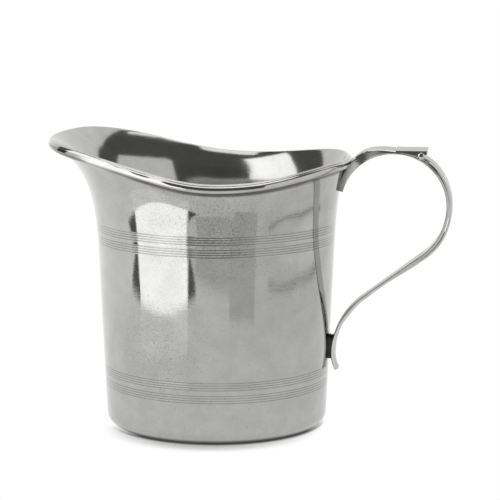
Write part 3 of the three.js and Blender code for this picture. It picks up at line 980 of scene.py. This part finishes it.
# %% Table: painted light falloff and shadow
FADE_TURN, FADE_PLACE, FADE_SCALE = math.radians(25), (0.55, 0.5, 0), (1.6, 1.2, 0)
SHADOW_REACH, CONTACT_REACH, SHADE_SAMPLES = 17 * MM, 2.4 * MM, 16
SHADOW_STARTS, SHADOW_ENDS, SHADOW_TURN = -25 * MM, -3 * MM, math.radians(-14)
SHADOW_POWER = 3.0


def add_tone(tree, place, path):
    """Plain white to the camera; in the metal a painted falloff of light fades the white across the table."""
    turn = add_node(tree, "ShaderNodeMapping", {"Rotation": (0, 0, FADE_TURN)})
    spread = add_node(tree, "ShaderNodeMapping", {"Location": FADE_PLACE, "Scale": FADE_SCALE})
    fade = add_node(tree, "ShaderNodeTexGradient", gradient_type="LINEAR")
    seen = add_node(tree, "ShaderNodeMapRange", {"To Min": 1.12, "To Max": 0.82})
    tone = add_node(tree, "ShaderNodeMix", {"B": 1.0}, data_type="FLOAT")
    join(tree, place, "Object", turn, "Vector")
    join(tree, turn, "Vector", spread, "Vector")
    join(tree, spread, "Vector", fade, "Vector")
    join(tree, fade, "Fac", seen, "Value")
    join(tree, seen, "Result", tone, "A")
    join(tree, path, "Is Camera Ray", tone, "Factor")
    return tone


def add_soft_shadow(tree, path):
    """Share of the light that is left where the jug stands close behind a point."""
    lean_back = add_node(tree, "ShaderNodeCombineXYZ", {"Y": 0.95, "Z": 0.31})
    shade = add_node(tree, "ShaderNodeAmbientOcclusion", {"Distance": SHADOW_REACH}, samples=SHADE_SAMPLES)
    soften = add_node(tree, "ShaderNodeMapRange", {"From Max": 0.62, "To Min": 0.4})
    deepen = add_node(tree, "ShaderNodeMath", {1: SHADOW_POWER}, operation="POWER")
    mirrored = add_node(tree, "ShaderNodeMapRange", {"To Min": 0.2})
    fall = add_node(tree, "ShaderNodeMix", {"A": 1.0}, data_type="FLOAT")
    join(tree, lean_back, "Vector", shade, "Normal")
    join(tree, shade, "AO", soften, "Value")
    join(tree, soften, "Result", deepen, 0)
    join(tree, path, "Is Camera Ray", mirrored, "Value")
    join(tree, mirrored, "Result", fall, "Factor")
    join(tree, deepen, "Value", fall, "B")
    return fall


def add_shadow(tree, place, path):
    """Both shadows, and none of them behind a line through the foot."""
    contact = add_node(tree, "ShaderNodeAmbientOcclusion", {"Distance": CONTACT_REACH}, samples=SHADE_SAMPLES)
    tighten = add_node(tree, "ShaderNodeMapRange", {"From Min": 0.15, "From Max": 0.6, "To Min": 0.12})
    both = add_node(tree, "ShaderNodeMath", operation="MULTIPLY")
    lie = add_node(tree, "ShaderNodeMapping", {"Rotation": (0, 0, SHADOW_TURN)})
    axes = add_node(tree, "ShaderNodeSeparateXYZ")
    clear = add_node(tree, "ShaderNodeMapRange", {"From Min": SHADOW_STARTS, "From Max": SHADOW_ENDS})
    front = add_node(tree, "ShaderNodeMath", operation="MAXIMUM")
    join(tree, contact, "AO", tighten, "Value")
    join(tree, add_soft_shadow(tree, path), "Result", both, 0)
    join(tree, tighten, "Result", both, 1)
    join(tree, place, "Object", lie, "Vector")
    join(tree, lie, "Vector", axes, "Vector")
    join(tree, axes, "Y", clear, "Value")
    join(tree, both, "Value", front, 0)
    join(tree, clear, "Result", front, 1)
    return front


# %% Table: white paper
PAPER_COLOUR = (0.8, 0.8, 0.8, 1)


def make_floor():
    """Glows white to the camera and in the metal, and is plain paper to all other light."""
    material = bpy.data.materials.new("white_paper")
    material.use_nodes = True
    tree = material.node_tree
    tree.nodes.remove(tree.nodes["Principled BSDF"])
    path = add_node(tree, "ShaderNodeLightPath")
    place = add_node(tree, "ShaderNodeTexCoord")
    dim = add_node(tree, "ShaderNodeMath", operation="MULTIPLY")
    glow = add_node(tree, "ShaderNodeEmission")
    paper = add_node(tree, "ShaderNodeBsdfDiffuse", {"Color": PAPER_COLOUR})
    direct = add_node(tree, "ShaderNodeMath", operation="MAXIMUM")
    any_view = add_node(tree, "ShaderNodeMath", operation="MAXIMUM")
    mix = add_node(tree, "ShaderNodeMixShader")
    join(tree, add_tone(tree, place, path), "Result", dim, 0)
    join(tree, add_shadow(tree, place, path), "Value", dim, 1)
    join(tree, dim, "Value", glow, "Strength")
    join(tree, path, "Is Camera Ray", direct, 0)
    join(tree, path, "Is Glossy Ray", direct, 1)
    join(tree, direct, "Value", any_view, 0)
    join(tree, path, "Is Transmission Ray", any_view, 1)
    join(tree, any_view, "Value", mix, "Fac")
    join(tree, paper, "BSDF", mix, 1)
    join(tree, glow, "Emission", mix, 2)
    join(tree, mix, "Shader", tree.nodes["Material Output"], "Surface")
    return material


floor.data.materials.append(make_floor())
print("paper:", len(floor.data.materials[0].node_tree.nodes), "nodes")

# %% [markdown]
# The cards are placed in millimetres on the table. The soft light makes the bright window on the
# wall, with its two dark feet beside it, and its pool brightens the table in front of it. Grey
# cards laid in front of the jug are painted shade on the table, and make the grey window in the
# middle of the wall. A dark strip on the table, laid in two lengths, shows down its right side.

# %% Light cards and dark cards
CARD_LIFT = 0.1


def make_card_finish(name, strength):
    material = bpy.data.materials.new(name)
    material.use_nodes = True
    tree = material.node_tree
    tree.nodes.remove(tree.nodes["Principled BSDF"])
    glow = add_node(tree, "ShaderNodeEmission", {"Strength": strength})
    join(tree, glow, "Emission", tree.nodes["Material Output"], "Surface")
    return material


def hide_card(card, strength):
    """Dress a card and keep it out of the camera's sight and of the floor's light."""
    card.data.materials.append(make_card_finish(card.name + "_glow", strength))
    card.visible_camera = False
    card.visible_diffuse = False
    card.visible_shadow = False


def stand_card(name, left, right, low, high, strength, peak=None):
    """Upright card over a line on the table; with a peak, its top is one point."""
    start, end = Vector((*left, 0)) * MM, Vector((*right, 0)) * MM
    along = end - start
    middle = (start + end) / 2 + Vector((0, 0, (low + high) / 2 * MM))
    upright = (math.pi / 2, 0, math.atan2(along.y, along.x))
    card = add_plane(name, size=1, location=middle, rotation=upright)
    card.scale = (along.length, (high - low) * MM, 1)
    if peak is not None:
        for vert in card.data.vertices:
            if vert.co.y > 0:
                vert.co.x = peak - 0.5
    hide_card(card, strength)


def lay_card(name, corners, strength):
    """Card that lies on the table."""
    card = add_plane(name, size=1)
    for vert, (x, y) in zip(card.data.vertices, corners):
        vert.co = Vector((x, y, CARD_LIFT)) * MM
    hide_card(card, strength)


# %% Place the cards
LIGHT_LEFT, LIGHT_RIGHT = (-218, -96), (-72, -218)
OVERHEAD_SIZE, OVERHEAD_HEIGHT, OVERHEAD_STRENGTH = 0.7, 1, 1.6

stand_card("soft_light", (-302, -10), (-87, -188.5), low=80, high=400, strength=2.0)
stand_card("soft_light_skirt", LIGHT_LEFT, LIGHT_RIGHT, low=0, high=80, strength=1.95)
stand_card("left_light_foot", (-264, -58), LIGHT_LEFT, low=0, high=26, strength=0.15, peak=0.9)
stand_card("right_light_foot", LIGHT_RIGHT, (-43, -243), low=0, high=26, strength=0.15, peak=0.2)
lay_card("light_pool", [LIGHT_LEFT, LIGHT_RIGHT, (-150, -66), (-50, -150)], strength=1.12)
# A dark strip lies on the table in two lengths down the right side.
lay_card("dark_strip_near", [(208, -150), (268, 0), (215, -155), (280, -3)], strength=0.42)
lay_card("dark_strip_far", [(268, 0), (279, 150), (280, -3), (292, 150)], strength=0.42)
stand_card("right_card", (300, -340), (300, 200), low=0, high=370, strength=0.95)
# Grey cards on the table in front of the jug: painted shade of the table there.
lay_card("table_shade_card", [(-70, -600), (700, -600), (-58, -272), (190, -210)], strength=0.7)
lay_card("grey_strip", [(100, -296), (205, -225), (64, -192), (131, -150)], strength=0.68)
stand_card("table_front", (-1200, -600), (1200, -600), low=0, high=400, strength=0.1)
overhead = add_plane("overhead_light", size=OVERHEAD_SIZE, location=(0, 0, OVERHEAD_HEIGHT))
hide_card(overhead, OVERHEAD_STRENGTH)


# %% Dark curtain round the front of the room
CURTAIN_RADIUS, CURTAIN_HEIGHT, CURTAIN_PANELS = 1.6, 4.0, 72
CURTAIN_LEFT, CURTAIN_RIGHT = -122, 147
CURTAIN_STRENGTH = 0.12

curtain = start_mesh("dark_curtain", bpy.ops.mesh.primitive_circle_add, vertices=CURTAIN_PANELS,
                     radius=CURTAIN_RADIUS)
bpy.ops.mesh.extrude_region_move(TRANSFORM_OT_translate={"value": (0, 0, CURTAIN_HEIGHT)})


def behind_jug(place):
    azimuth = math.degrees(math.atan2(place.x, -place.y))
    return azimuth < CURTAIN_LEFT or azimuth > CURTAIN_RIGHT


pick(curtain, behind_jug)
bpy.ops.mesh.delete(type="VERT")
bpy.ops.object.mode_set(mode="OBJECT")
hide_card(curtain, CURTAIN_STRENGTH)
print("curtain:", len(curtain.data.polygons), "panels")

# %% [markdown]
# The world is white to the camera and in the metal, like the paper behind the table, and gives
# soft light to the floor. The camera stands where the photographer stood: a long lens, a little
# above the lip, looking down by nine and a half degrees.

# %% World and camera
CAMERA_AT = Vector((117.17, -898.72, 217.84)) * MM
LOOKS_AT = Vector((12.70, 1.50, 66.35)) * MM
LENS, SENSOR = 173.27, 36

world = bpy.data.worlds.new("white_room")
world.use_nodes = True
bpy.context.scene.world = world
background = world.node_tree.nodes["Background"]
background.inputs["Color"].default_value = (1, 1, 1, 1)
background.inputs["Strength"].default_value = 1.0
lens = bpy.data.cameras.new("long_lens")
lens.sensor_width = SENSOR
lens.lens = LENS
camera = bpy.data.objects.new("long_lens", lens)
camera.location = CAMERA_AT
camera.rotation_euler = (LOOKS_AT - CAMERA_AT).to_track_quat("-Z", "Y").to_euler()
bpy.context.scene.collection.objects.link(camera)
bpy.context.scene.camera = camera
bpy.context.scene.view_settings.view_transform = "Standard"
print(f"camera {(LOOKS_AT - CAMERA_AT).length:.3f} m from the jug")
